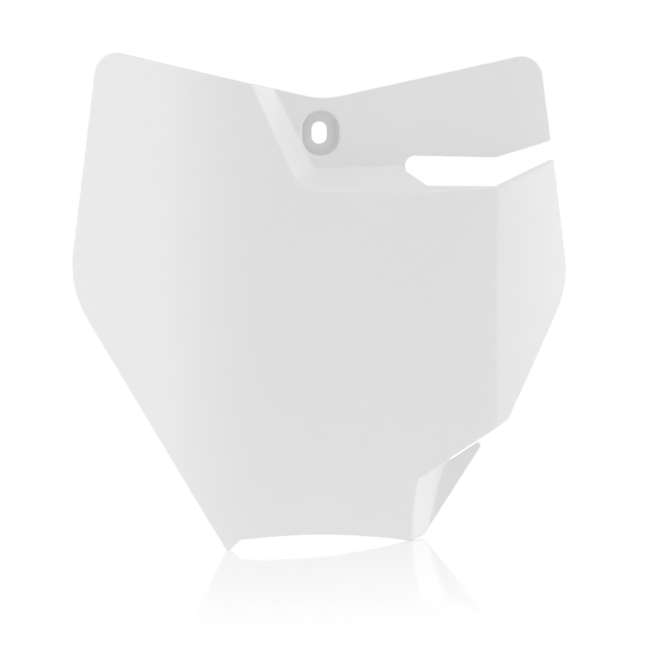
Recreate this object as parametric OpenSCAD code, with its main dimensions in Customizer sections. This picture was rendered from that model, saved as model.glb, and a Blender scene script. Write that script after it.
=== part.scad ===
// Front number board of an off-road motorcycle, moulded in one piece from white plastic.
// Millimetres, Z up, the front faces -Y. The origin is the screw hole's centre on the rear
// seat. Inside the modules the front face lies at Y = 0 and Y grows with the depth behind it;
// a point of the front view is written [x, z].

/* [View] */
// Part to draw

/* [Skin] */
// Thickness of the moulding, the same all over
wall = 2.2; // [1.6:0.1:2.8]
// Half width of the flat middle on the left
flat_left = 28; // [20:1:36]
// Half width of the flat middle on the right
flat_right = 27; // [20:1:36]
// Bending radius of the left side
left_radius = 115; // [90:5:150]
// Angle that the left side turns back
left_turn = 24; // [16:1:28]
// Bending radius of the right side
right_radius = 400; // [380:10:420]
// Angle that the right side turns back before the crease
right_turn = 8; // [6:0.5:8.5]
// Sideways position of the upright crease
crease_x = 87.5; // [86:0.5:92]
// Angle of the wing where it leaves the crease
wing_turn = 26; // [22:1:30]
// Bending radius of the wing
wing_radius = 280; // [240:10:400]
// Height at which the lower edge starts to curl back
curl_z = -182; // [-190:1:-178]
// Bending radius of that curl
curl_radius = 100; // [95:5:160]

/* [Front outline] */
// Upper left corner before rounding
top_left = [-110.3, 42.5]; // [-120:0.1:50]
// Middle of the shallow V in the upper edge
notch = [1.3, 16.7]; // [-2:0.1:20]
// Upper right corner before rounding
top_right = [111, 40.1]; // [38:0.1:113]
// Left shoulder, the widest place
shoulder_left = [-125.7, -78]; // [-128:0.1:-76]
// Right shoulder, on the wing
shoulder_right = [127.9, -78.2]; // [-80:0.1:129]
// Lower corner of the wing, where the flap's lower edge starts
wing_foot = [94.5, -143.9]; // [-147:0.1:96]
// Left foot at the bottom
foot = [-47.6, -208.8]; // [-210:0.1:-45]
// Width and height of the left foot, up to the arch
foot_step = [6.4, 6]; // [5:0.1:8]
// Rounding of the two upper corners
corner_radius = 11.3; // [6:0.1:14]
// Rounding of the V
notch_radius = 40; // [20:5:60]
// Rounding of the left and of the right shoulder
shoulder_radius = [52, 46]; // [30:1:56]
// Rounding of the wing's lower corner
wing_foot_radius = 5; // [3:0.5:8]
// Rounding of the foot's point and of its inner corner
foot_radius = [1.8, 1]; // [0.6:0.1:2.2]
// Middle and height of the low arch between the feet
arch_top = [-4.5, -200.3]; // [-202:0.1:-2]
// Radius of that arch
arch_radius = 303; // [280:1:340]

/* [Hose bay] */
// Depth of the sunken bay behind the front face, at the screw
bay_depth = 13; // [11:0.5:14]
// Angle that the bay floor turns back to the right
bay_turn = 4; // [3:0.5:5]
// Sideways position where the bay floor starts to bend further
bay_bend_x = 95; // [92:1:98]
// Bending radius of the bay floor there
bay_bend_radius = 120; // [100:5:160]
// Angle of the bay floor after that bend
bay_end_turn = 15; // [12:1:18]
// Lower left corner of the bay on the front face
bay_corner = [-11.1, -27.1]; // [-29:0.1:-9]
// Slope of the bay's left edge against the upright
bay_side_lean = 25.1; // [22:0.1:28]
// Fall of the bay's lower edge to the right
bay_sill_fall = 3.1; // [2:0.1:4]
// Rounding between the two bay walls
bay_radius = 12; // [8:0.5:15]
// Run of the bay walls for each millimetre of depth, to the right and up
bay_lean = [0.59, 0.74]; // [0.4:0.01:0.9]

/* [Hose slot] */
// Left end of the slot
slot_left = 42.7; // [38:0.1:50]
// Upper edge at the left end
slot_top = -11.3; // [-13:0.1:-11]
// Slanted left end, its upper and its lower corner
slot_bevel = [7.6, 14.5]; // [6:0.1:15]
// Sideways run of that slant
slot_bevel_run = 9.9; // [6:0.1:11]
// Roundings of the left end, from the upper to the lower corner
slot_radius = [4.8, 1.5, 3]; // [1:0.1:5]
// Sideways position where both edges turn upward
slot_kink = 87.7; // [86:0.1:90]
// Sideways offset of the two kinks
kink_shift = 1.1; // [0:0.1:2]
// Fall of the upper and of the lower edge down to the kinks
kink_fall = [1.3, 0.7]; // [0:0.1:2]
// Rounding of the kinks
kink_radius = 6; // [3:0.5:10]
// Mouth at the right edge, its upper and its lower corner
slot_mouth = [-4.5, -13.7]; // [-14:0.1:-4]
// Rounding of the two corners of the mouth
mouth_radius = 1.4; // [0.8:0.1:2]

/* [Lower tab] */
// Depth of the tab behind the front face, at its upper corner
tab_depth = 17.4; // [15:0.2:19]
// Forward tilt of the tab toward its lower end
tab_tilt = 7; // [4:0.5:9]
// Angle that the tab turns back to the right
tab_turn = 5; // [4:0.5:6]
// Upper left corner of the tab step on the front face
step_corner = [46.9, -172.8]; // [-174:0.1:48]
// Slope of the step's front edge against the upright
step_slope = 7.5; // [5:0.5:10]
// Rounding of the step in its corner
step_radius = 4; // [3:0.5:8]
// Run of the step walls for each millimetre of depth, to the right and up
step_lean = [0.91, 0.33]; // [0.3:0.01:0.95]
// Left end of the slit between flap and tab
slit_left = 64; // [62:0.5:68]
// Width of the slit
slit = 4.5; // [4:0.1:6]
// Rounding of the slit's closed end
slit_radius = 1.2; // [0.8:0.1:1.8]
// Height of the free room behind the flap's lower edge
relief_height = 12; // [8:0.5:14]
// Outer corner of the tab
tab_tip_x = 85.4; // [80:0.1:87]
// Lower corner of the tab
tab_foot = [52.7, -202.6]; // [-206:0.1:55]
// Point under the arch toward which the lower edge of the right foot runs
heel = [33.9, -206.2]; // [-208:0.1:38]
// Roundings of the tab's outer and of its lower corner
tab_radius = [2.6, 1]; // [0.6:0.1:4]

/* [Screw cup] */
// Distance from the front face back to the rear seat
seat_depth = 24; // [22:0.5:26]
// Thickness of the cup floor
floor_wall = 2.5; // [2:0.1:3.5]
// Width of the screw hole
hole_width = 7.8; // [6.4:0.1:9]
// Height of the screw hole
hole_height = 11.2; // [10:0.1:13]
// Width of the cup inside
cup_width = 18.2; // [16:0.1:20]
// Height of the cup inside
cup_height = 22.4; // [21:0.1:24]
// Rounding of the cup's front edge
lip_radius = 1.6; // [0.8:0.1:2]

/* [Hidden] */
$fn = 96;
white = [0.93, 0.93, 0.92];
// How far the skin's plan runs past its bends, and how far the slanted walls run
reach = max(shoulder_right[0], -shoulder_left[0]);
far = 260;
// Front and rear end of the outline's prism, and rear end of the skin's plan
front = -10;
deep = 60;
back = deep - front;
// Upper end of the upright skin, and the arc over which the lower edge may curl
head = max(top_left[1], top_right[1]) + wall;
curl_turn = 45;
// Roundings are drawn past their corner and a hair flat, so that they cross their
// neighbours instead of grazing them
over = 1.2;
small_ease = 1.003;
wide_ease = 1.0003;
// Distance of the step's upper edge from the flap's edge line
step_gap = 0.2;

function unit(v) = v / norm(v);
function on_arc(c, r, a) = c + r * [sin(a), -cos(a)];
function half_angle(u, v) = acos(u * v) / 2;

// Plan of the bends, [x, depth].
left_centre = [-flat_left, left_radius];
right_centre = [flat_right, right_radius];
right_end = on_arc(right_centre, right_radius, right_turn);
crease = right_end + [1, tan(right_turn)] * (crease_x - right_end[0]);
wing_centre = crease - wing_radius * [sin(wing_turn), -cos(wing_turn)];
bay_bend = [bay_bend_x, bay_depth + bay_bend_x * tan(bay_turn)];
bay_centre = bay_bend - bay_bend_radius * [sin(bay_turn), -cos(bay_turn)];

// Front view: direction of the flap's lower edge, from its left end to the wing.
flap_run = unit(wing_foot - step_corner);
flap_normal = [flap_run[1], -flap_run[0]];

// What a rounding of radius r takes off the corner b between the points a and c, or adds in it.
module nip(a, b, c, r, ease = small_ease) {
    u = unit(a - b);
    v = unit(c - b);
    h = half_angle(u, v);
    m = b + unit(u + v) * r / sin(h);
    difference() {
        polygon([
            m,
            m + over * (b + u * r / tan(h) - m),
            m + over * (b - m),
            m + over * (b + v * r / tan(h) - m)
        ]);
        translate(m) circle(r = r * ease);
    }
}

// Plan of everything that lies at least d behind the front skin.
module behind_skin(d) {
    left = on_arc(left_centre, (left_radius - d) / cos(left_turn / 2), -left_turn / 2);
    right = on_arc(right_centre, (right_radius - d) / cos(right_turn / 2), right_turn / 2);
    left_far = left + reach * [-cos(left_turn), sin(left_turn)];
    right_far = right + reach * [cos(right_turn), sin(right_turn)];
    difference() {
        intersection() {
            polygon([
                left_far,
                left,
                right,
                right_far,
                [right_far[0], back + d],
                [left_far[0], back + d]
            ]);
            translate(wing_centre) circle(r = wing_radius - d, $fn = 360);
        }
        nip(left_far, left, right, left_radius - d, wide_ease, $fn = 360);
        nip(left, right, right_far, right_radius - d, wide_ease, $fn = 360);
    }
}

// The upright skin with its lower edge curled back round a level axis.
module skin(d) {
    translate([0, 0, curl_z]) linear_extrude(height = head - curl_z) behind_skin(d);
    translate([0, curl_radius, curl_z])
        rotate([-90, 0, 0]) rotate([0, 90, 0])
            rotate_extrude(angle = curl_turn, $fn = 180)
                translate([curl_radius, 0]) rotate(90) behind_skin(d);
}

// Plan of everything that lies at least d behind the bay floor.
module behind_bay(d) {
    half = (bay_end_turn - bay_turn) / 2;
    a = on_arc(bay_centre, (bay_bend_radius - d) / cos(half), bay_turn + half);
    b = a - 2 * reach * [cos(bay_turn), sin(bay_turn)];
    c = a + reach * [cos(bay_end_turn), sin(bay_end_turn)];
    difference() {
        polygon([b, a, c, [c[0], far], [b[0], far]]);
        nip(b, a, c, bay_bend_radius - d, wide_ease, $fn = 360);
    }
}

// A corner between two straight walls that both lean the same way. The prism's own axis
// leans, so the rounding between the walls is a true cylinder.
function heading(lean) = atan(lean[0]);
function pitch(lean) = atan2(lean[1], norm([1, lean[0]]));
function flat(p, lean) = [
    p[0] * cos(heading(lean)),
    p[0] * sin(heading(lean)) * sin(pitch(lean)) - p[1] * cos(pitch(lean))
];

module leaning_corner(corner, run_a, run_b, lean, r, d) {
    b = flat(corner, lean);
    u = unit(flat(corner + run_a, lean) - b);
    v = unit(flat(corner + run_b, lean) - b);
    tip = b - unit(u + v) * d / sin(half_angle(u, v));
    rotate([0, 0, -heading(lean)]) rotate([pitch(lean) - 90, 0, 0])
        translate([0, 0, -far / 2]) linear_extrude(height = far)
            difference() {
                polygon([tip + far * u, tip, tip + far * v, tip + far * (u + v)]);
                nip(tip + u, tip, tip + v, r + d);
            }
}

// The sunken bay at the upper right, grown by d.
module bay(d) {
    difference() {
        leaning_corner(
            bay_corner,
            [-sin(bay_side_lean), cos(bay_side_lean)],
            [cos(bay_sill_fall), -sin(bay_sill_fall)],
            bay_lean, bay_radius, d);
        translate([0, 0, -far]) linear_extrude(height = 2 * far) behind_bay(d);
    }
}

// The step down to the lower tab, grown by d.
module step(d) {
    difference() {
        leaning_corner(
            step_corner + step_gap * flap_normal,
            flap_run,
            [-sin(step_slope), -cos(step_slope)],
            step_lean, step_radius, d);
        translate([step_corner[0], 0, step_corner[1]] + tab_depth * [step_lean[0], 1, step_lean[1]])
            rotate([-tab_tilt, 0, tab_turn])
                translate([-far, d, -far]) cube([2 * far, far, 2 * far]);
    }
}

// Everything that lies at least d behind the visible front of the board.
module body(d) {
    difference() {
        skin(d);
        bay(d);
        step(d);
    }
}

// Front view of the board, with its slot and slit. The corners are rounded by true arcs.
function right_edge(z) = top_right
    + (shoulder_right - top_right) * (top_right[1] - z) / (top_right[1] - shoulder_right[1]);
slot_bottom = slot_top - slot_bevel[1];
slit_end = step_corner + flap_run * (slit_left - step_corner[0]) / flap_run[0];
tab_top = slit_end + slit * flap_normal;
tab_tip = tab_top + flap_run * (tab_tip_x - tab_top[0]) / flap_run[0];
arch_left = foot[0] + foot_step[0];
corners = [
    [top_left, corner_radius],
    [notch, notch_radius],
    [top_right, corner_radius],
    [right_edge(slot_mouth[0]), mouth_radius],
    [[slot_kink + kink_shift, slot_top - kink_fall[0]], kink_radius],
    [[slot_left, slot_top], slot_radius[0]],
    [[slot_left, slot_top - slot_bevel[0]], slot_radius[1]],
    [[slot_left + slot_bevel_run, slot_bottom], slot_radius[2]],
    [[slot_kink - kink_shift, slot_bottom - kink_fall[1]], kink_radius],
    [right_edge(slot_mouth[1]), mouth_radius],
    [shoulder_right, shoulder_radius[1]],
    [wing_foot, wing_foot_radius],
    [slit_end, slit_radius],
    [tab_top, slit_radius],
    [tab_tip, tab_radius[0]],
    [tab_foot, tab_radius[1]],
    [heel, foot_radius[1]],
    [foot + foot_step, foot_radius[1]],
    [foot, foot_radius[0]],
    [shoulder_left, shoulder_radius[0]]
];
count = len(corners);

function before(i) = corners[(i + count - 1) % count][0];
function after(i) = corners[(i + 1) % count][0];
function outward(i) = cross(corners[i][0] - before(i), after(i) - corners[i][0]) < 0;

module outline() {
    difference() {
        union() {
            polygon([for (c = corners) c[0]]);
            for (i = [0 : count - 1]) if (!outward(i)) nip(after(i), corners[i][0], before(i), corners[i][1]);
        }
        for (i = [0 : count - 1]) if (outward(i)) nip(before(i), corners[i][0], after(i), corners[i][1]);
        intersection() {
            translate(arch_top - [0, arch_radius]) circle(r = arch_radius, $fn = 720);
            translate([arch_left, foot[1] - wall])
                square([tab_foot[0] - arch_left, arch_top[1] - foot[1] + 2 * wall]);
        }
    }
}

// Turns a front view into a prism that runs back from depth a to depth b.
module through(a, b) {
    translate([0, b, 0]) rotate([90, 0, 0]) linear_extrude(height = b - a) children();
}

module obround(width, height) {
    translate([0, (height - width) / 2]) circle(d = width);
    translate([0, (width - height) / 2]) circle(d = width);
    square([width, height - width], center = true);
}

// Room behind the flap, so that its lower edge ends free above the slit.
module flap_relief() {
    above = slit_end - relief_height * flap_normal;
    below = slit_end + slit / 2 * flap_normal;
    intersection() {
        skin(wall);
        through(0, back)
            polygon([above, below, below + reach * flap_run, above + reach * flap_run]);
    }
}

// What the rounding of the cup's front edge takes off, turned with the bay floor.
module lip_profile() {
    difference() {
        translate([cup_width / 2 - lip_radius, -lip_radius])
            square([2 * lip_radius, 2 * lip_radius]);
        translate([cup_width / 2 + lip_radius, -lip_radius])
            circle(r = lip_radius * small_ease);
    }
}

module cup_lip() {
    straight = cup_height - cup_width;
    translate([0, bay_depth, 0]) rotate([0, 0, bay_turn])
        for (side = [0, 180]) rotate([0, side, 0]) {
            translate([0, 0, straight / 2]) rotate([90, 0, 0])
                rotate_extrude(angle = 180) lip_profile();
            rotate([180, 0, 0]) linear_extrude(height = straight, center = true) lip_profile();
        }
}

module board() {
    color(white) translate([0, -seat_depth, 0])
        difference() {
            intersection() {
                body(0);
                through(front, deep) outline();
            }
            difference() {
                body(wall);
                through(front, seat_depth) obround(cup_width + 2 * wall, cup_height + 2 * wall);
            }
            flap_relief();
            through(front, seat_depth - floor_wall) obround(cup_width, cup_height);
            cup_lip();
            through(front, deep) obround(hole_width, hole_height);
        }
}

board();
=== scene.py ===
import math

import bpy
import numpy as np
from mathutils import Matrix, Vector
from mathutils.geometry import delaunay_2d_cdt


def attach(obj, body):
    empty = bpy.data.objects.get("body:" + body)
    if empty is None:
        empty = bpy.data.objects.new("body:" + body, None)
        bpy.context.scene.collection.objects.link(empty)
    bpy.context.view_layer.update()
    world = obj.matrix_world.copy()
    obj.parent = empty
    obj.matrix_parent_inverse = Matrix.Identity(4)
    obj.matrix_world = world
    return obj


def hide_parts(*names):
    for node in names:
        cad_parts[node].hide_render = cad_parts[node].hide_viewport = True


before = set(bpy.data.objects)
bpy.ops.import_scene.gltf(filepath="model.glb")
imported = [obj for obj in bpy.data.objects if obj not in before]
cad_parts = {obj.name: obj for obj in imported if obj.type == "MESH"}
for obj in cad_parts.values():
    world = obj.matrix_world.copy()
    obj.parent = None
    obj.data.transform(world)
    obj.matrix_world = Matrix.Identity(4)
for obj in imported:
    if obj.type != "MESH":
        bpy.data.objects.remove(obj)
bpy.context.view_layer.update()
mm = 0.001


def unit(v):
    v = np.asarray(v, float)
    return v / np.linalg.norm(v)


# lesser of two distances, rounded where both are near zero
def softMin(a, b, r):
    return np.maximum(r, np.minimum(a, b)) - np.hypot(np.maximum(r - a, 0), np.maximum(r - b, 0))


# distance behind a line that turns back round a centre between two angles
def bend(x, y, centre, radius, start, end):
    a = np.arctan2(x - centre[0], centre[1] - y)
    t = np.clip(a, start, end)
    straight = (centre[0] - x) * np.sin(t) - (centre[1] - y) * np.cos(t) + radius
    return np.where(a == t, radius - np.hypot(x - centre[0], y - centre[1]), straight)


# The board's shape in millimetres: x and z of the front view, y the depth behind the front face.
# The skin has a flat middle, bent sides, a wing behind a crease and a curled lower edge.
skin = {
    "wall": 2.2,
    "flatLeft": 28.0,           # the flat middle, to both sides of the screw hole
    "flatRight": 27.0,
    "leftRadius": 115.0,
    "leftTurn": math.radians(24),
    "rightRadius": 400.0,
    "rightTurn": math.radians(8),
    "creaseX": 87.5,
    "creaseSoft": 0.5,          # rounding of the crease in front of the wing
    "wingTurn": math.radians(26),
    "wingRadius": 280.0,
    "curlZ": -182.0,            # below this height the skin curls back
    "curlRadius": 100.0,
}
rightEnd = np.array([skin["flatRight"] + skin["rightRadius"] * math.sin(skin["rightTurn"]),
                     skin["rightRadius"] * (1 - math.cos(skin["rightTurn"]))])
crease = rightEnd + np.array([1, math.tan(skin["rightTurn"])]) * (skin["creaseX"] - rightEnd[0])
wingFacing = np.array([math.sin(skin["wingTurn"]), -math.cos(skin["wingTurn"])])
wingCentre = crease - skin["wingRadius"] * wingFacing


def skinDistance(x, y, z):
    drop = np.maximum(skin["curlZ"] - z, 0)
    y = skin["curlRadius"] - np.hypot(skin["curlRadius"] - y, drop)
    left = bend(-x, y, (skin["flatLeft"], skin["leftRadius"]), skin["leftRadius"], 0, skin["leftTurn"])
    right = bend(x, y, (skin["flatRight"], skin["rightRadius"]), skin["rightRadius"], 0, skin["rightTurn"])
    wing = skin["wingRadius"] - np.hypot(x - wingCentre[0], y - wingCentre[1])
    return softMin(np.where(x < 0, left, right), wing, skin["creaseSoft"])


# looks along the leaning axis of two walls
def flatten(x, y, z, lean):
    heading = math.atan(lean[0])
    pitch = math.atan2(lean[1], math.hypot(1, lean[0]))
    u = x * math.cos(heading) - y * math.sin(heading)
    v = (x * math.sin(heading) + y * math.cos(heading)) * math.sin(pitch) - z * math.cos(pitch)
    return u, v


# distance inside a pocket between two leaning walls with a rounded corner
def wallDistance(x, y, z, corner, runA, runB, lean, radius):
    tip = np.array(flatten(corner[0], 0, corner[1], lean))
    a = unit(np.array(flatten(corner[0] + runA[0], 0, corner[1] + runA[1], lean)) - tip)
    b = unit(np.array(flatten(corner[0] + runB[0], 0, corner[1] + runB[1], lean)) - tip)
    half = math.acos(a @ b) / 2
    toMiddle = unit(a + b) / math.sin(half)
    u, v = flatten(x, y, z, lean)
    u, v = u - tip[0] - toMiddle[0] * radius, v - tip[1] - toMiddle[1] * radius
    inner = []
    for side in (a, b):
        normal = np.array([-side[1], side[0]])
        if normal @ toMiddle < 0:
            normal = -normal
        inner.append(u * normal[0] + v * normal[1] + radius)
    inCorner = (u * a[0] + v * a[1] < 0) & (u * b[0] + v * b[1] < 0)
    return np.where(inCorner, radius - np.hypot(u, v), np.minimum(*inner))


# Sunken hose bay at the upper right, with a slanted side wall, a sill and a floor that turns back.
bay = {
    "depth": 13.0,
    "turn": math.radians(4),
    "bendX": 95.0,
    "bendRadius": 120.0,
    "endTurn": math.radians(15),
    "corner": (-11.1, -27.1),
    "sideLean": math.radians(25.1),
    "sillFall": math.radians(2.0),
    "radius": (18.0, 6.0),      # rounding between the walls, at the front face and at the floor
    "lean": (0.59, 0.76),       # shift of the walls to the right and up, per millimetre of depth
    "lipSoft": 0.8,             # where the walls leave the front face
    "footSoft": 0.4,            # where they meet the bay floor
}
bayBend = np.array([bay["bendX"], bay["depth"] + bay["bendX"] * math.tan(bay["turn"])])
bayFacing = np.array([math.sin(bay["turn"]), -math.cos(bay["turn"])])
bayCentre = bayBend - bay["bendRadius"] * bayFacing


def bayDistance(x, y, z):
    radius = np.interp(y, (0, bay["depth"]), bay["radius"])
    walls = wallDistance(x, y, z, bay["corner"], (-math.sin(bay["sideLean"]), math.cos(bay["sideLean"])),
                         (math.cos(bay["sillFall"]), -math.sin(bay["sillFall"])), bay["lean"], radius)
    floor = -bend(x, y, bayCentre, bay["bendRadius"], bay["turn"], bay["endTurn"])
    return softMin(walls, floor, bay["footSoft"])


# Tab at the lower right, stepped back from the skin.
step = {
    "depth": 17.4,
    "tilt": math.radians(7),
    "turn": math.radians(5),
    "corner": (46.9, -172.8),
    "slope": math.radians(7.5),
    "radius": 4.0,
    "lean": (0.91, 0.33),
    "gap": 0.2,                 # room between the flap's edge and the step's upper wall
    "lipSoft": 0.8,
    "footSoft": 0.7,
}

# The flap hangs in front of the step. To the right of slitLeft a slit opens between them.
flap = {
    "wingFoot": (94.5, -143.9),
    "slitLeft": 64.0,
    "slit": 4.5,                # width of the slit
    "slitRadius": 1.2,
    "reliefHeight": 12.0,       # room behind the flap's lower edge
}
# lower edge of the flap, from the corner of the step to the wing
flapRun = unit(np.subtract(flap["wingFoot"], step["corner"]))
flapNormal = np.array([flapRun[1], -flapRun[0]])
slitEnd = np.array(step["corner"]) + flapRun * (flap["slitLeft"] - step["corner"][0]) / flapRun[0]


def stepDistance(x, y, z):
    corner = np.array(step["corner"]) + step["gap"] * flapNormal
    walls = wallDistance(x, y, z, corner, flapRun, (-math.sin(step["slope"]), -math.cos(step["slope"])),
                         step["lean"], step["radius"])
    place = np.array([step["corner"][0], 0, step["corner"][1]])
    place += step["depth"] * np.array([step["lean"][0], 1, step["lean"][1]])
    facing = (-math.sin(step["turn"]) * math.cos(step["tilt"]),
              math.cos(step["turn"]) * math.cos(step["tilt"]), -math.sin(step["tilt"]))
    tab = (x - place[0]) * facing[0] + (y - place[1]) * facing[1] + (z - place[2]) * facing[2]
    return softMin(walls, -tab, step["footSoft"])


# distance behind the visible front of the board
def frontDistance(x, y, z, relieved):
    distance = softMin(skinDistance(x, y, z), -bayDistance(x, y, z), bay["lipSoft"])
    stepped = softMin(distance, -stepDistance(x, y, z), step["lipSoft"])
    return np.where(relieved, distance, stepped)


# where the back of the flap is free of the step
def relief(x, z, level):
    across = (x - slitEnd[0]) * flapNormal[0] + (z - slitEnd[1]) * flapNormal[1]
    along = (x - slitEnd[0]) * flapRun[0] + (z - slitEnd[1]) * flapRun[1]
    return (level > 0) & (along > 0) & (across > -flap["reliefHeight"]) & (across < flap["slit"] / 2)


# Mesh of the board: the front and the back are filled inside the rim, the cup is a chain of rings.
surface = {
    "x": (-130, 132),           # stretch of the front view that is searched for the skin
    "z": (-212, 46),
    "depth": (-4.0, 60.0),      # range of depths in which it lies
    "halvings": 28,             # steps in the search for the depth
    "probe": 0.02,              # reach of the samples that give the slope
    "fine": 0.44,               # closest points, where the surface bends most
    "coarse": 6,                # widest spacing, as a number of fine steps
    "tolerance": 0.015,         # how far a flat stretch may leave the true surface
    "rimGap": 0.4,              # strip along the rim that stays without points
    "weld": 1e-5,               # points closer than this are one
    "leastArea": 0.002,         # thinner triangles are left out
    "spacing": 2.2,             # longest step along the rim
    "cornerStep": 0.16,         # widest turn between two points of a rounded corner
    "cornerLeast": 3,           # fewest steps in a rounded corner
    "edgeSteps": 3,             # steps in each quarter round of the free edges
    "cupSteps": 4,              # steps in each quarter round of the cup
}


# depth at which a point of the front view lies so far behind the front
def depthAt(x, z, level):
    relieved = relief(x, z, level)
    low, high = (np.full(x.shape, end) for end in surface["depth"])
    for _ in range(surface["halvings"]):
        mid = (low + high) / 2
        behind = frontDistance(x, mid, z, relieved) > level
        high, low = np.where(behind, mid, high), np.where(behind, low, mid)
    return (low + high) / 2


def normalAt(x, y, z, level):
    h = surface["probe"]
    relieved = relief(x, z, level)
    n = np.stack([frontDistance(x + h, y, z, relieved) - frontDistance(x - h, y, z, relieved),
                  frontDistance(x, y + h, z, relieved) - frontDistance(x, y - h, z, relieved),
                  frontDistance(x, y, z + h, relieved) - frontDistance(x, y, z - h, relieved)], axis=1)
    n /= np.linalg.norm(n, axis=1)[:, None]
    return n if level > 0 else -n


# Outline of the front view, clockwise. Points are x and z, other pairs are left or upper first.
rim = {
    "topLeft": (-110.3, 42.5),
    "notch": (1.3, 16.7),
    "topRight": (111.0, 40.1),
    "shoulderLeft": (-125.7, -78.0),
    "shoulderRight": (127.9, -78.2),
    "foot": (-47.6, -208.8),
    "footStep": (6.4, 6.0),
    "cornerRadius": 11.3,
    "notchRadius": 40.0,
    "shoulderRadius": (52.0, 46.0),
    "wingFootRadius": 5.0,
    "footRadius": (1.8, 1.0),
    "archTop": (-4.5, -200.3),
    "archRadius": 303.0,
    "archMargin": (0.2, 1.0),   # slack left of the foot's step and above the tab's foot
    "slotLeft": 42.7,
    "slotTop": -11.3,
    "slotBevel": (7.6, 14.5),
    "slotBevelRun": 9.9,
    "slotRadius": (4.8, 1.5, 3.0),
    "slotKink": 87.7,
    "kinkShift": 1.1,
    "kinkFall": (1.3, 0.7),
    "kinkRadius": 6.0,
    "slotMouth": (-4.5, -13.7),
    "mouthRadius": 1.4,
    "tabTipX": 85.4,
    "tabFoot": (52.7, -202.6),
    "tabRadius": (1.3, 1.0),
    "heel": (33.9, -206.2),
    "edge": 0.4,                # rounding of the free edges
}


def rightEdge(z):
    a, b = np.array(rim["topRight"]), np.array(rim["shoulderRight"])
    return a + (b - a) * (a[1] - z) / (a[1] - b[1])


def boardCorners():
    slotBottom = rim["slotTop"] - rim["slotBevel"][1]
    tabTop = slitEnd + flap["slit"] * flapNormal
    tabTip = tabTop + flapRun * (rim["tabTipX"] - tabTop[0]) / flapRun[0]
    shift, fall = rim["kinkShift"], rim["kinkFall"]
    return [
        (rim["topLeft"], rim["cornerRadius"]),
        (rim["notch"], rim["notchRadius"]),
        (rim["topRight"], rim["cornerRadius"]),
        (rightEdge(rim["slotMouth"][0]), rim["mouthRadius"]),
        ((rim["slotKink"] + shift, rim["slotTop"] - fall[0]), rim["kinkRadius"]),
        ((rim["slotLeft"], rim["slotTop"]), rim["slotRadius"][0]),
        ((rim["slotLeft"], rim["slotTop"] - rim["slotBevel"][0]), rim["slotRadius"][1]),
        ((rim["slotLeft"] + rim["slotBevelRun"], slotBottom), rim["slotRadius"][2]),
        ((rim["slotKink"] - shift, slotBottom - fall[1]), rim["kinkRadius"]),
        (rightEdge(rim["slotMouth"][1]), rim["mouthRadius"]),
        (rim["shoulderRight"], rim["shoulderRadius"][1]),
        (flap["wingFoot"], rim["wingFootRadius"]),
        (slitEnd, flap["slitRadius"]),
        (tabTop, flap["slitRadius"]),
        (tabTip, rim["tabRadius"][0]),
        (rim["tabFoot"], rim["tabRadius"][1]),
        (rim["heel"], rim["footRadius"][1]),
        (np.add(rim["foot"], rim["footStep"]), rim["footRadius"][1]),
        (rim["foot"], rim["footRadius"][0]),
        (rim["shoulderLeft"], rim["shoulderRadius"][0]),
    ]


# closed line through rounded corners, with even points
def roundedLoop(corners, spacing):
    loop = []
    for i, (p, r) in enumerate(corners):
        p = np.array(p, float)
        a = unit(np.array(corners[i - 1][0]) - p)
        b = unit(np.array(corners[(i + 1) % len(corners)][0]) - p)
        half = math.acos(a @ b) / 2
        start, end = p + a * r / math.tan(half), p + b * r / math.tan(half)
        centre = p + unit(a + b) * r / math.sin(half)
        sweep = math.pi - 2 * half
        count = max(surface["cornerLeast"], math.ceil(sweep * r / spacing),
                    math.ceil(sweep / surface["cornerStep"]))
        first, last = start - centre, end - centre
        for k in range(count + 1):
            t = k / count
            q = (first * math.sin((1 - t) * sweep) + last * math.sin(t * sweep)) / math.sin(sweep)
            loop.append(centre + q)
    dense = []
    for p, q in zip(loop, loop[1:] + loop[:1]):
        count = max(1, math.ceil(np.linalg.norm(q - p) / spacing))
        dense += [p + (q - p) * k / count for k in range(count)]
    return np.array(dense)


# lifts the lower edge to the low arch between the feet
def archCut(loop):
    middle, top = rim["archTop"]
    arch = top - rim["archRadius"] + np.sqrt(rim["archRadius"] ** 2 - (loop[:, 0] - middle) ** 2)
    under = (loop[:, 1] < rim["tabFoot"][1] + rim["archMargin"][1]) & (loop[:, 0] < rim["tabFoot"][0])
    under &= loop[:, 0] > rim["foot"][0] + rim["footStep"][0] - rim["archMargin"][0]
    loop[:, 1] = np.where(under, np.maximum(loop[:, 1], arch), loop[:, 1])
    return loop


def outward(loop):
    along = np.roll(loop, -1, 0) - np.roll(loop, 1, 0)
    along /= np.linalg.norm(along, axis=1)[:, None]
    return np.stack([-along[:, 1], along[:, 0]], axis=1)


def inside(spots, loop):
    hit = np.zeros(len(spots), bool)
    for (ax, az), (bx, bz) in zip(loop, np.roll(loop, -1, 0)):
        if az == bz:
            continue
        at = ax + (spots[:, 1] - az) * (bx - ax) / (bz - az)
        hit ^= ((az > spots[:, 1]) != (bz > spots[:, 1])) & (spots[:, 0] < at)
    return hit


# distance from each spot to a closed line
def clearance(spots, loop):
    best = np.full(len(spots), np.inf)
    for a, b in zip(loop, np.roll(loop, -1, 0)):
        d = b - a
        t = np.clip((spots - a) @ d / (d @ d), 0, 1)
        best = np.minimum(best, np.linalg.norm(spots - a - t[:, None] * d, axis=1))
    return best


# the mesh as it grows
points, normals, faces = [], [], []


def addPoints(xz, y, normal):
    first = sum(len(p) for p in points)
    points.append(np.stack([xz[:, 0], y, xz[:, 1]], axis=1))
    normals.append(normal)
    return np.arange(first, first + len(xz))


def addBand(a, b):
    for i in range(len(a)):
        j = (i + 1) % len(a)
        faces.append((a[i], a[j], b[j], b[i]))


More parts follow.
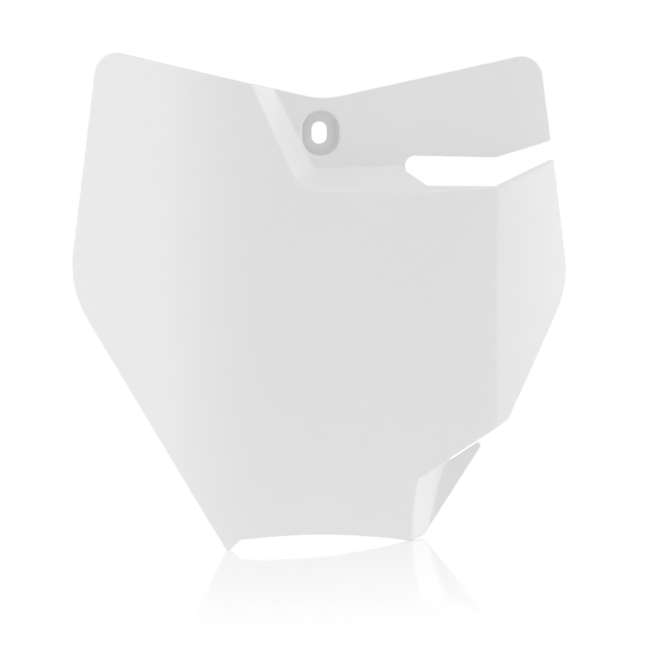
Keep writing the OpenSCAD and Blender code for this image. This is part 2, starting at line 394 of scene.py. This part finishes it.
# even points, closer together where the surface bends
def adaptivePoints(level):
    fine, coarse = surface["fine"], surface["coarse"]
    gx, gz = np.meshgrid(np.arange(*surface["x"], fine), np.arange(*surface["z"], fine), indexing="ij")
    depth = depthAt(gx.ravel(), gz.ravel(), level).reshape(gx.shape)
    keep = np.zeros(gx.shape, bool)
    keep[::coarse, ::coarse] = True
    stride = coarse // 2
    while stride >= 1:
        error = np.zeros(gx.shape)
        for axis in (0, 1):
            e = abs(np.roll(depth, stride, axis) + np.roll(depth, -stride, axis) - 2 * depth) / 2
            error = np.maximum(error, e)
        here = np.zeros(gx.shape, bool)
        here[::stride, ::stride] = True
        keep |= here & (error > surface["tolerance"])
        stride //= 2
    return np.stack([gx[keep], gz[keep]], axis=1)


# joins the rim and the cup's edge by triangles over the surface at that level, backward for the rear
def fillSurface(level, outer, hole, outerIds, holeIds, backward):
    grid = adaptivePoints(level)
    grid = grid[inside(grid, outer) & ~inside(grid, hole)]
    grid = grid[np.minimum(clearance(grid, outer), clearance(grid, hole)) > surface["rimGap"]]
    depth = depthAt(grid[:, 0], grid[:, 1], level)
    ids = addPoints(grid, depth, normalAt(grid[:, 0], depth, grid[:, 1], level))
    every = np.concatenate([outer, hole, grid])
    index = np.concatenate([outerIds, holeIds, ids])
    edges = [(i, (i + 1) % len(outer)) for i in range(len(outer))]
    edges += [(len(outer) + i, len(outer) + (i + 1) % len(hole)) for i in range(len(hole))]
    places = [Vector(p) for p in every]
    _, _, made, origins, _, _ = delaunay_2d_cdt(places, edges, [], 0, surface["weld"], True)
    source = [o[0] if o else -1 for o in origins]
    tris = np.array([[source[v] for v in f] for f in made])
    centre = every[tris].mean(axis=1)
    good = (tris >= 0).all(axis=1) & inside(centre, outer) & ~inside(centre, hole)
    for a, b, c in tris[good]:
        turn = np.cross(every[b] - every[a], every[c] - every[a])
        if abs(turn) < surface["leastArea"]:
            continue
        if (turn > 0) == backward:
            b, c = c, b
        faces.append((index[a], index[b], index[c]))


# rounded free edge between the front and the back
def buildRim():
    outline = archCut(roundedLoop(boardCorners(), surface["spacing"]))
    side = outward(outline)
    away = np.stack([side[:, 0], np.zeros(len(side)), side[:, 1]], axis=1)
    rings = []
    for level, sign in ((0, 1), (skin["wall"], -1)):
        half = []
        for t in np.linspace(0, math.pi / 2, surface["edgeSteps"] + 1):
            line = outline - side * rim["edge"] * (1 - math.sin(t))
            depth = depthAt(line[:, 0], line[:, 1], level)
            face = normalAt(line[:, 0], depth, line[:, 1], level)
            depth = depth + sign * rim["edge"] * (1 - math.cos(t))
            half.append((line, addPoints(line, depth, face * math.cos(t) + away * math.sin(t))))
        rings += half if sign > 0 else half[::-1]
    for (_, a), (_, b) in zip(rings, rings[1:]):
        addBand(a, b)
    return rings[0], rings[-1]


cup = {
    "seatDepth": 24.0,
    "floorWall": 2.5,
    "hole": (7.8, 11.2),
    "inside": (18.2, 22.4),
    "lip": 1.6,                 # roundings from the front edge to the rear
    "foot": 0.8,
    "holeEdge": 0.25,
    "seatEdge": 0.5,
    "rearFoot": 0.6,
    "segments": 96,
}


# upright obround, anticlockwise, grown all round
def obround(size, grow):
    a = np.arange(cup["segments"]) * 2 * math.pi / cup["segments"]
    straight = (size[1] - size[0]) / 2
    upper = np.sign(np.sin(a).round(6))     # 0 at the middle of both straight sides
    r = size[0] / 2 + grow
    return np.stack([r * np.cos(a), r * np.sin(a) + straight * upper], axis=1)


# Rings of a quarter round from a level face to the cup's wall, or back with fromFace=False. base is
# the depth of the face, or the side of the skin in its place. sideways is 1 where the face lies
# outside the wall, down is 1 where the wall runs back from it, and facing is 1 for an outer wall.
def quarterRings(size, radius, sideways, down, base, facing, fromFace=True):
    rings = []
    for t in np.linspace(0, math.pi / 2, surface["cupSteps"] + 1):
        out, deep = 1 - math.sin(t), 1 - math.cos(t)
        if not fromFace:
            out, deep = deep, out
            t = math.pi / 2 - t
        line = obround(size, sideways * radius * out)
        around = line - [0, 1] * np.clip(line[:, 1:], (size[0] - size[1]) / 2, (size[1] - size[0]) / 2)
        around /= np.linalg.norm(around, axis=1)[:, None]
        wall = facing * np.stack([around[:, 0], np.zeros(len(line)), around[:, 1]], axis=1)
        if base in ("front", "back"):
            level = 0 if base == "front" else skin["wall"]
            depth = depthAt(line[:, 0], line[:, 1], level)
            face = normalAt(line[:, 0], depth, line[:, 1], level)
        else:
            depth = np.full(len(line), float(base))
            face = np.tile((0, 1 if base == cup["seatDepth"] else -1, 0), (len(line), 1))
        normal = face * math.cos(t) + wall * math.sin(t)
        rings.append((line, addPoints(line, depth + down * radius * deep, normal)))
    return rings


def buildCup():
    seat = cup["seatDepth"]
    floor = seat - cup["floorWall"]
    outer = (cup["inside"][0] + 2 * skin["wall"], cup["inside"][1] + 2 * skin["wall"])
    rings = quarterRings(cup["inside"], cup["lip"], 1, 1, "front", -1)
    rings += quarterRings(cup["inside"], cup["foot"], -1, -1, floor, -1, False)
    rings += quarterRings(cup["hole"], cup["holeEdge"], 1, 1, floor, -1)
    rings += quarterRings(cup["hole"], cup["holeEdge"], 1, -1, seat, -1, False)
    rings += quarterRings(outer, cup["seatEdge"], -1, -1, seat, 1)
    rings += quarterRings(outer, cup["rearFoot"], 1, 1, "back", 1, False)
    for (_, a), (_, b) in zip(rings, rings[1:]):
        addBand(a, b)
    return rings[0], rings[-1]


def buildBoard():
    (frontRim, frontIds), (backRim, backIds) = buildRim()
    (lip, lipIds), (foot, footIds) = buildCup()
    fillSurface(0, frontRim, lip, frontIds, lipIds, False)
    fillSurface(skin["wall"], backRim, foot, backIds, footIds, True)
    place = np.concatenate(points)
    place[:, 1] -= cup["seatDepth"]
    mesh = bpy.data.meshes.new("board")
    mesh.from_pydata([tuple(p) for p in place * mm], [], [tuple(int(v) for v in f) for f in faces])
    mesh.validate()
    mesh.update()
    mesh.shade_smooth()
    mesh.normals_split_custom_set_from_vertices(np.concatenate(normals))
    board = bpy.data.objects.new("numberBoard", mesh)
    bpy.context.scene.collection.objects.link(board)
    print("board: points", len(place), "faces", len(faces))
    return board


# White moulded plastic: fine grain, uneven gloss and a painted highlight that makes sharp edges paler.
plastic = {
    "color": (0.86, 0.86, 0.855, 1),
    # painted highlight: sharp edges get this paler colour, mixed in by pointiness between the two values
    # below
    "edgeHighlightColor": (0.9, 0.9, 0.9, 1),
    "highlightFrom": 0.52,           # pointiness at which the paler edge begins
    "highlightTo": 0.6,
    "roughness": 0.38,
    "glossSpread": 0.14,
    "glossScale": 22.0,
    "glossDetail": 4,
    "grainScale": 1600.0,
    "grainDetail": 3,
    "grainDepth": 0.012 * mm,
    "grainStrength": 0.25,
    "ior": 1.49,
}


def mouldGrain():
    group = bpy.data.node_groups.new("mouldGrain", "ShaderNodeTree")
    sockets = group.interface
    sockets.new_socket("Scale", in_out="INPUT", socket_type="NodeSocketFloat")
    sockets.new_socket("Roughness", in_out="INPUT", socket_type="NodeSocketFloat")
    sockets.new_socket("Spread", in_out="INPUT", socket_type="NodeSocketFloat")
    sockets.new_socket("Color", in_out="INPUT", socket_type="NodeSocketColor")
    sockets.new_socket("Edge Highlight Color", in_out="INPUT", socket_type="NodeSocketColor")
    sockets.new_socket("Height", in_out="OUTPUT", socket_type="NodeSocketFloat")
    sockets.new_socket("Roughness", in_out="OUTPUT", socket_type="NodeSocketFloat")
    sockets.new_socket("Color", in_out="OUTPUT", socket_type="NodeSocketColor")
    nodes, links = group.nodes, group.links
    given = nodes.new("NodeGroupInput")
    result = nodes.new("NodeGroupOutput")
    place = nodes.new("ShaderNodeTexCoord")

    grain = nodes.new("ShaderNodeTexNoise")
    grain.inputs["Detail"].default_value = plastic["grainDetail"]
    links.new(place.outputs["Object"], grain.inputs["Vector"])
    links.new(given.outputs["Scale"], grain.inputs["Scale"])
    links.new(grain.outputs["Fac"], result.inputs["Height"])

    cloud = nodes.new("ShaderNodeTexNoise")
    cloud.inputs["Scale"].default_value = plastic["glossScale"]
    cloud.inputs["Detail"].default_value = plastic["glossDetail"]
    links.new(place.outputs["Object"], cloud.inputs["Vector"])
    centred = nodes.new("ShaderNodeMath")
    centred.operation = "SUBTRACT"
    centred.inputs[1].default_value = 0.5       # middle of the noise
    links.new(cloud.outputs["Fac"], centred.inputs[0])
    spread = nodes.new("ShaderNodeMath")
    spread.operation = "MULTIPLY_ADD"
    links.new(centred.outputs[0], spread.inputs[0])
    links.new(given.outputs["Spread"], spread.inputs[1])
    links.new(given.outputs["Roughness"], spread.inputs[2])
    links.new(spread.outputs[0], result.inputs["Roughness"])

    # painted highlight: edges that pointiness finds sharp are mixed towards the paler colour
    shape = nodes.new("ShaderNodeNewGeometry")
    edgeHighlight = nodes.new("ShaderNodeMapRange")
    edgeHighlight.inputs["From Min"].default_value = plastic["highlightFrom"]
    edgeHighlight.inputs["From Max"].default_value = plastic["highlightTo"]
    links.new(shape.outputs["Pointiness"], edgeHighlight.inputs["Value"])
    tint = nodes.new("ShaderNodeMix")
    tint.data_type = "RGBA"
    links.new(edgeHighlight.outputs["Result"], tint.inputs["Factor"])
    links.new(given.outputs["Color"], tint.inputs["A"])
    links.new(given.outputs["Edge Highlight Color"], tint.inputs["B"])
    links.new(tint.outputs["Result"], result.inputs["Color"])
    return group


def whitePlastic(group):
    material = bpy.data.materials.new("whitePlastic")
    material.use_nodes = True
    nodes, links = material.node_tree.nodes, material.node_tree.links
    shader = nodes["Principled BSDF"]
    shader.inputs["IOR"].default_value = plastic["ior"]
    grain = nodes.new("ShaderNodeGroup")
    grain.node_tree = group
    grain.inputs["Scale"].default_value = plastic["grainScale"]
    grain.inputs["Roughness"].default_value = plastic["roughness"]
    grain.inputs["Spread"].default_value = plastic["glossSpread"]
    grain.inputs["Color"].default_value = plastic["color"]
    # paler colour of the painted edge highlight
    grain.inputs["Edge Highlight Color"].default_value = plastic["edgeHighlightColor"]
    bump = nodes.new("ShaderNodeBump")
    bump.inputs["Strength"].default_value = plastic["grainStrength"]
    bump.inputs["Distance"].default_value = plastic["grainDepth"]
    links.new(grain.outputs["Height"], bump.inputs["Height"])
    links.new(bump.outputs["Normal"], shader.inputs["Normal"])
    links.new(grain.outputs["Roughness"], shader.inputs["Roughness"])
    links.new(grain.outputs["Color"], shader.inputs["Base Color"])
    return material


board = buildBoard()
board.data.materials.append(whitePlastic(mouldGrain()))
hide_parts("board")
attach(board, "root")
print("board built")


# White floor with the board's faint mirror image, soft lamps at both sides and overhead.
studio = {
    "feet": ((-47.6, -207.76), (43.3, -204.3)),     # the floor runs through both feet
    "floorSize": 3.0,
    "floorColor": (0.9, 0.9, 0.9, 1),
    "floorGloss": 0.55,         # share of the mirror image right at the board's feet
    "glossFade": (0.024, 0.258),    # distances in front of the board between which it fades
    "mirrorRoughness": 0.06,
    "glow": 1.065,              # keeps the floor as pale as the backdrop, for the camera only
    "glowShare": 0.88,          # the rest is real floor, which takes the shadow
    "bounce": 0.11,             # light that the floor throws back on the board
    "world": 0.59,
    "aim": (0, 0, -0.08),
    "lamps": {                  # place, power, size
        "left": ((-1.594, 0, 0.06), 11.9, 1.2),
        "right": ((1.594, 0, 0.06), 9.3, 1.2),
        "overhead": ((0, -0.573, 1.414), 4.8, 1.2),
    },
}


def floorMaterial():
    material = bpy.data.materials.new("paleFloor")
    material.use_nodes = True
    nodes, links = material.node_tree.nodes, material.node_tree.links
    nodes.clear()
    result = nodes.new("ShaderNodeOutputMaterial")
    path = nodes.new("ShaderNodeLightPath")
    real = nodes.new("ShaderNodeBsdfDiffuse")
    real.inputs["Color"].default_value = studio["floorColor"]
    glow = nodes.new("ShaderNodeEmission")
    glow.inputs["Color"].default_value = (1, 1, 1, 1)
    glow.inputs["Strength"].default_value = studio["glow"]
    seen = nodes.new("ShaderNodeMath")
    seen.operation = "MULTIPLY"
    seen.inputs[1].default_value = studio["glowShare"]
    links.new(path.outputs["Is Camera Ray"], seen.inputs[0])
    pale = nodes.new("ShaderNodeMixShader")
    links.new(seen.outputs[0], pale.inputs["Fac"])
    links.new(real.outputs[0], pale.inputs[1])
    links.new(glow.outputs[0], pale.inputs[2])

    mirror = nodes.new("ShaderNodeBsdfGlossy")
    mirror.inputs["Color"].default_value = (1, 1, 1, 1)
    mirror.inputs["Roughness"].default_value = studio["mirrorRoughness"]
    place = nodes.new("ShaderNodeTexCoord")
    apart = nodes.new("ShaderNodeSeparateXYZ")
    links.new(place.outputs["Object"], apart.inputs[0])
    fade = nodes.new("ShaderNodeMapRange")
    fade.inputs["From Min"].default_value = -studio["glossFade"][1]
    fade.inputs["From Max"].default_value = -studio["glossFade"][0]
    fade.inputs["To Max"].default_value = studio["floorGloss"]
    links.new(apart.outputs["Y"], fade.inputs["Value"])
    whole = nodes.new("ShaderNodeMixShader")
    links.new(fade.outputs["Result"], whole.inputs["Fac"])
    links.new(pale.outputs[0], whole.inputs[1])
    links.new(mirror.outputs[0], whole.inputs[2])

    unseen = nodes.new("ShaderNodeMath")
    unseen.operation = "MULTIPLY_ADD"
    unseen.inputs[1].default_value = -studio["bounce"]
    unseen.inputs[2].default_value = studio["bounce"]
    links.new(path.outputs["Is Camera Ray"], unseen.inputs[0])
    bounce = nodes.new("ShaderNodeEmission")
    links.new(unseen.outputs[0], bounce.inputs["Strength"])
    both = nodes.new("ShaderNodeAddShader")
    links.new(whole.outputs[0], both.inputs[0])
    links.new(bounce.outputs[0], both.inputs[1])
    links.new(both.outputs[0], result.inputs["Surface"])
    return material


def addFloor():
    s, (left, right) = studio["floorSize"], studio["feet"]
    slope = (right[1] - left[1]) / (right[0] - left[0])
    level = (left[1] - left[0] * slope) * mm
    corners = [(-s, -s), (s, -s), (s, s), (-s, s)]
    mesh = bpy.data.meshes.new("floor")
    mesh.from_pydata([(x, y, level + x * slope) for x, y in corners], [], [(0, 1, 2, 3)])
    mesh.materials.append(floorMaterial())
    floor = bpy.data.objects.new("floor", mesh)
    bpy.context.scene.collection.objects.link(floor)


def addWorld():
    world = bpy.data.worlds.new("studio")
    bpy.context.scene.world = world
    world.use_nodes = True
    nodes, links = world.node_tree.nodes, world.node_tree.links
    nodes.clear()
    result = nodes.new("ShaderNodeOutputWorld")
    path = nodes.new("ShaderNodeLightPath")
    white = nodes.new("ShaderNodeBackground")
    white.inputs["Color"].default_value = (1, 1, 1, 1)
    light = nodes.new("ShaderNodeBackground")
    light.inputs["Color"].default_value = (1, 1, 1, 1)
    light.inputs["Strength"].default_value = studio["world"]
    seen = nodes.new("ShaderNodeMath")
    seen.operation = "MAXIMUM"
    links.new(path.outputs["Is Camera Ray"], seen.inputs[0])
    links.new(path.outputs["Is Glossy Ray"], seen.inputs[1])
    both = nodes.new("ShaderNodeMixShader")
    links.new(seen.outputs[0], both.inputs["Fac"])
    links.new(light.outputs[0], both.inputs[1])
    links.new(white.outputs[0], both.inputs[2])
    links.new(both.outputs[0], result.inputs["Surface"])


def addLamp(name, place, power, size):
    data = bpy.data.lights.new(name, "AREA")
    data.shape = "SQUARE"
    data.size = size
    data.energy = power
    lamp = bpy.data.objects.new(name, data)
    lamp.location = place
    lamp.rotation_euler = (Vector(studio["aim"]) - Vector(place)).to_track_quat("-Z", "Y").to_euler()
    bpy.context.scene.collection.objects.link(lamp)


addFloor()
addWorld()
for name, (place, power, size) in studio["lamps"].items():
    addLamp(name, place, power, size)
print("studio built")


cameraPlace = {
    "target": (1.947 * mm, -13.170 * mm, -95.552 * mm),
    "azimuth": math.radians(-5),
    "elevation": math.radians(6.5),
    "distance": 1.5,
    "lens": 166.15,
    "sensor": 36,
}


def addCamera():
    data = bpy.data.cameras.new("camera")
    data.lens = cameraPlace["lens"]
    data.sensor_width = cameraPlace["sensor"]
    camera = bpy.data.objects.new("camera", data)
    a, e = cameraPlace["azimuth"], cameraPlace["elevation"]
    away = Vector((math.sin(a) * math.cos(e), -math.cos(a) * math.cos(e), math.sin(e)))
    camera.location = Vector(cameraPlace["target"]) + away * cameraPlace["distance"]
    camera.rotation_euler = (-away).to_track_quat("-Z", "Y").to_euler()
    bpy.context.scene.collection.objects.link(camera)
    bpy.context.scene.camera = camera


addCamera()
bpy.context.scene.view_settings.view_transform = "Standard"
